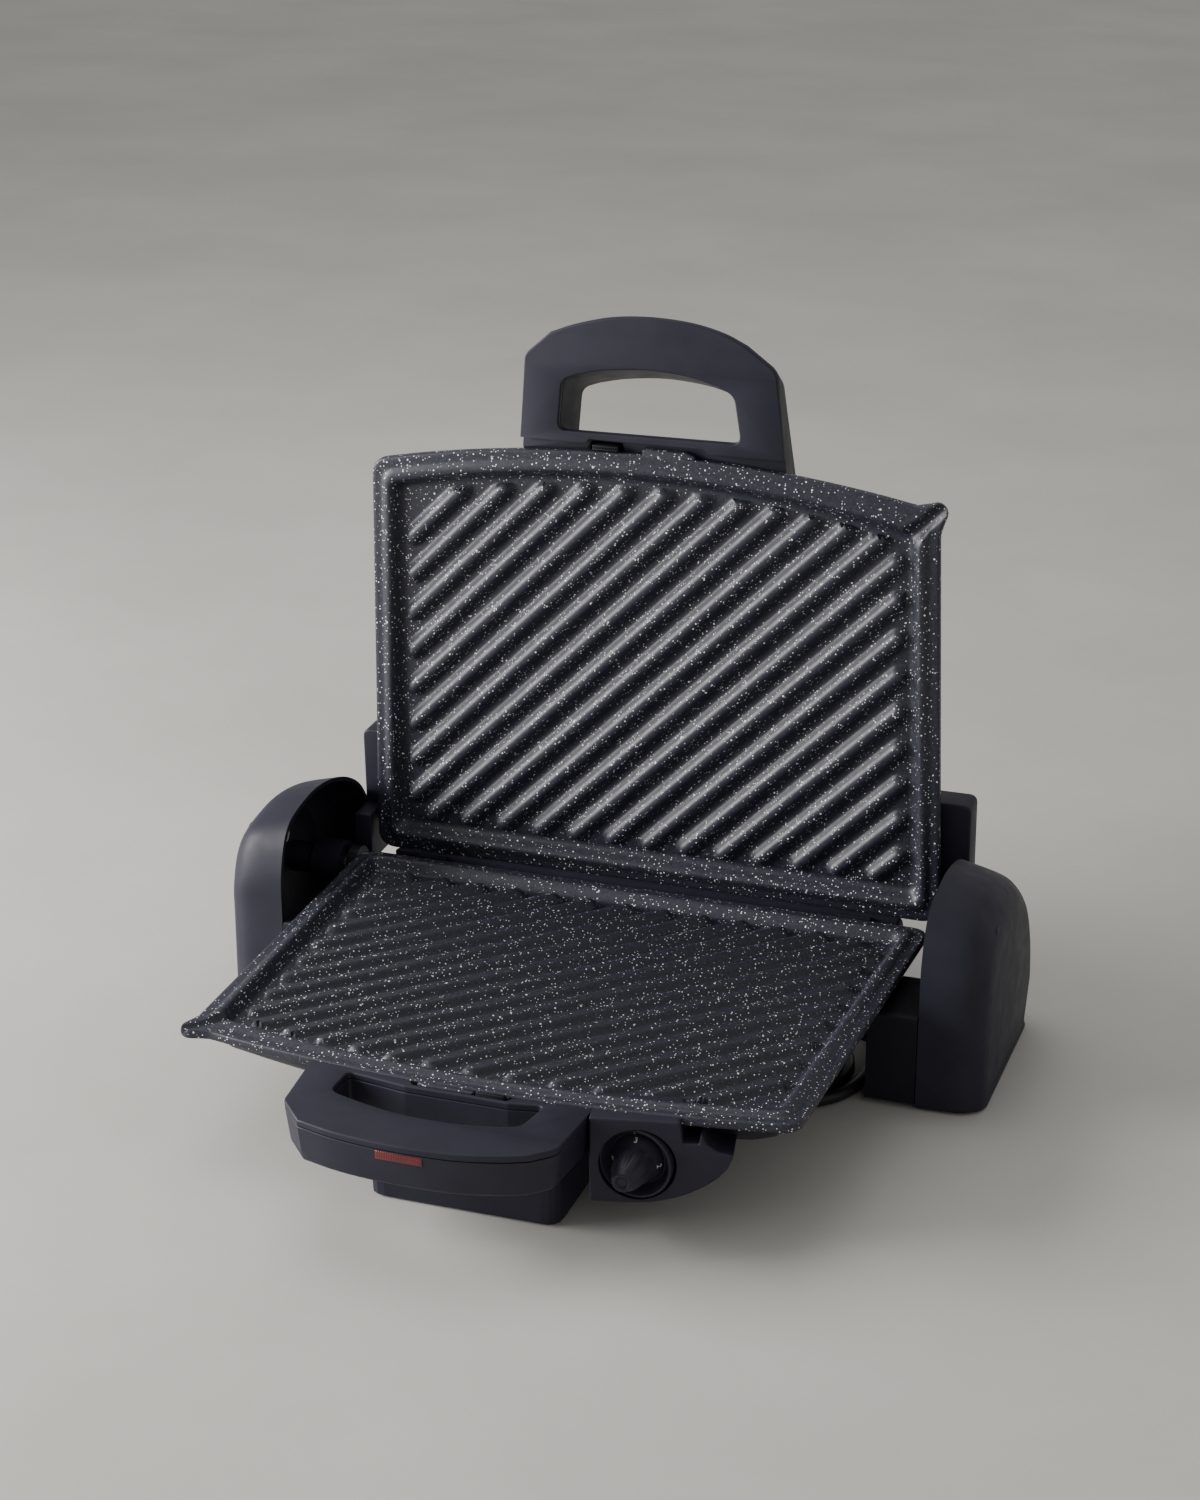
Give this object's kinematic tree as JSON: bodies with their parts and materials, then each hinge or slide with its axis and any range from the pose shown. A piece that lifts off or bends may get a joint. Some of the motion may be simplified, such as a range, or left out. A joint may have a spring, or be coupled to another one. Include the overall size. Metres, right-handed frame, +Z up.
{
  "type": "panini press",
  "caption": "Electric contact grill with two ribbed removable plates, a hinged lid on side pods, loop handles, a thermostat knob and a coiled mains cord.",
  "frame": {"origin": "on the table, under the middle of the object without its cord", "axes": "+Z up, -Y towards the cook, +X to the right"},
  "size_m": [0.436, 0.375, 0.3919],
  "materials": {
    "matte_plastic": "fine moulded texture",
    "dark_plastic": "matte",
    "granite_coating": "speckled non-stick coating on die-cast aluminium",
    "red_lens": "translucent",
    "ceramic": "satin",
    "rubber_feet": "matte",
    "cord_jacket": "satin",
    "bare_steel": "brushed",
    "brass": "satin"
  },
  "bodies": {
    "base": {"lower_housing": "matte_plastic", "lower_reflector": "bare_steel", "lower_heating_element": "bare_steel", "terminal_block": "ceramic", "thermal_fuse": "bare_steel", "lower_screw_1": "bare_steel", "lower_screw_2": "bare_steel", "lower_screw_3": "bare_steel", "lower_screw_4": "bare_steel", "lower_handle_cover": "matte_plastic", "lower_handle_body": "matte_plastic", "indicator_lens": "red_lens", "indicator_lamp": "ceramic", "lower_plate_hook_left": "dark_plastic", "lower_plate_hook_right": "dark_plastic", "front_foot": "matte_plastic", "front_pad_1": "rubber_feet", "front_pad_2": "rubber_feet", "control_housing": "matte_plastic", "knob_bezel": "dark_plastic", "thermostat_body": "ceramic", "pod_shell_left": "matte_plastic", "pod_bracket_left": "dark_plastic", "pod_pad_left": "rubber_feet", "hinge_pin_left": "bare_steel", "bracket_screw_left": "bare_steel", "pod_screw_left": "bare_steel", "pod_shell_right": "matte_plastic", "pod_bracket_right": "dark_plastic", "pod_pad_right": "rubber_feet", "hinge_pin_right": "bare_steel", "bracket_screw_right": "bare_steel", "pod_screw_right": "bare_steel", "cord_strain_relief": "cord_jacket", "mains_cord": "cord_jacket", "cord_coil": "cord_jacket", "cord_tie": "dark_plastic", "cord_tail": "cord_jacket", "mains_plug": "cord_jacket"},
    "lid": {"upper_housing": "matte_plastic", "upper_screw_1": "bare_steel", "upper_screw_2": "bare_steel", "upper_screw_3": "bare_steel", "upper_screw_4": "bare_steel", "upper_reflector": "bare_steel", "upper_heating_element": "bare_steel", "upper_plate_hook_left": "dark_plastic", "upper_plate_hook_right": "dark_plastic", "upper_handle_cover": "matte_plastic", "upper_handle_body": "matte_plastic", "hinge_arm_left": "matte_plastic", "hinge_arm_right": "matte_plastic"},
    "knob": {"thermostat_knob": "dark_plastic", "thermostat_spindle": "brass"},
    "lower_plate": {"lower_plate": "granite_coating"},
    "upper_plate": {"upper_plate": "granite_coating"},
    "lower_latch": {"lower_latch": "dark_plastic"},
    "upper_latch": {"upper_latch": "dark_plastic"}
  },
  "joints": [
    {"name": "lid_hinge", "type": "hinge", "parent": "base", "child": "lid", "pos_m": [0, 0.13698, 0.0548], "axis": [-1, 0, 0], "range_deg": [-87.5, 92]},
    {"name": "thermostat_turn", "type": "hinge", "parent": "base", "child": "knob", "pos_m": [0.0852, -0.11867, 0.043], "axis": [0, -1, 0], "range_deg": [-270, 0]},
    {"name": "lower_plate_tilt", "type": "hinge", "parent": "base", "child": "lower_plate", "pos_m": [0, 0.13183, 0.0676], "axis": [-1, 0, 0], "range_deg": [0, 25]},
    {"name": "upper_plate_tilt", "type": "hinge", "parent": "lid", "child": "upper_plate", "pos_m": [0, 0.15436, 0.0607], "axis": [1, 0, 0], "range_deg": [0, 25]},
    {"name": "lower_latch_press", "type": "slide", "parent": "base", "child": "lower_latch", "axis": [0, 0, -1], "range_m": [0, 0.0025], "stiffness_N_per_m": 800},
    {"name": "upper_latch_press", "type": "slide", "parent": "lid", "child": "upper_latch", "axis": [0, 0.9991, 0.0433], "range_m": [0, 0.0025], "stiffness_N_per_m": 800}
  ]
}
